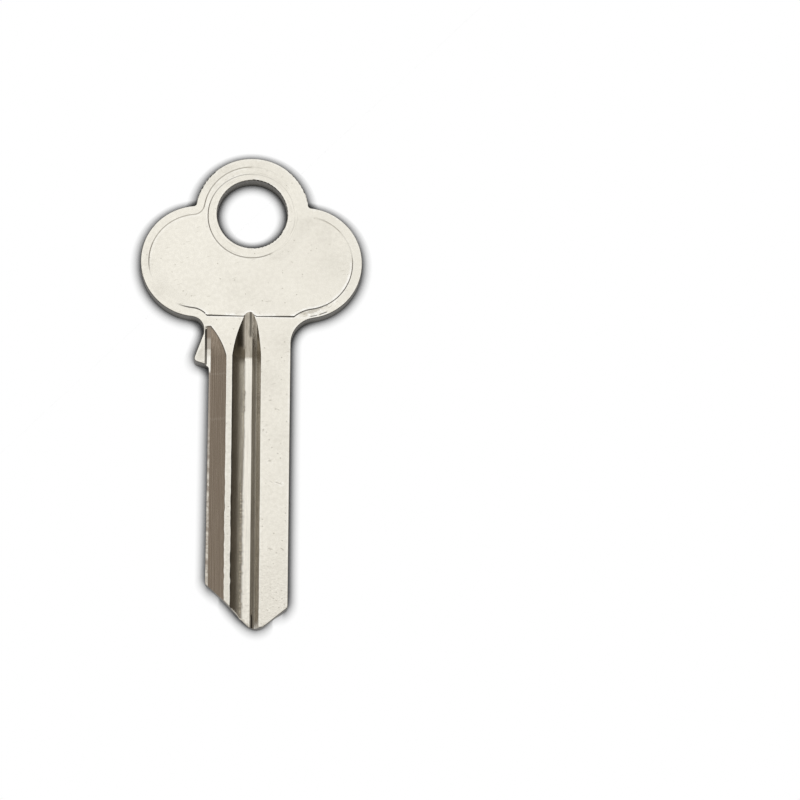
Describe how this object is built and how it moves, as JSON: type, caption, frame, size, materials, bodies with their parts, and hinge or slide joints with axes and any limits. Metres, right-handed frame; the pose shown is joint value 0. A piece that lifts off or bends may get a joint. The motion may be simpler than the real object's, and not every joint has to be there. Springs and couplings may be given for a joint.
{
  "type": "key blank",
  "caption": "Uncut flat key for a pin tumbler cylinder: three-lobed bow with a ring hole and stamped panels, shoulder stop, grooved blade with a bevelled point.",
  "frame": {"origin": "axis of the key ring hole, on the plane of the back face that the key lies on", "axes": "+Z out of the front face, along the ring hole's axis; +Y from the blade toward the bow, along the length; the bitting edge and shoulder stop are on -X"},
  "size_m": [0.0236, 0.0506, 0.0021],
  "materials": {
    "plated_brass": "satin nickel plate"
  },
  "bodies": {
    "root": {"key_blank": "plated_brass"}
  },
  "joints": []
}
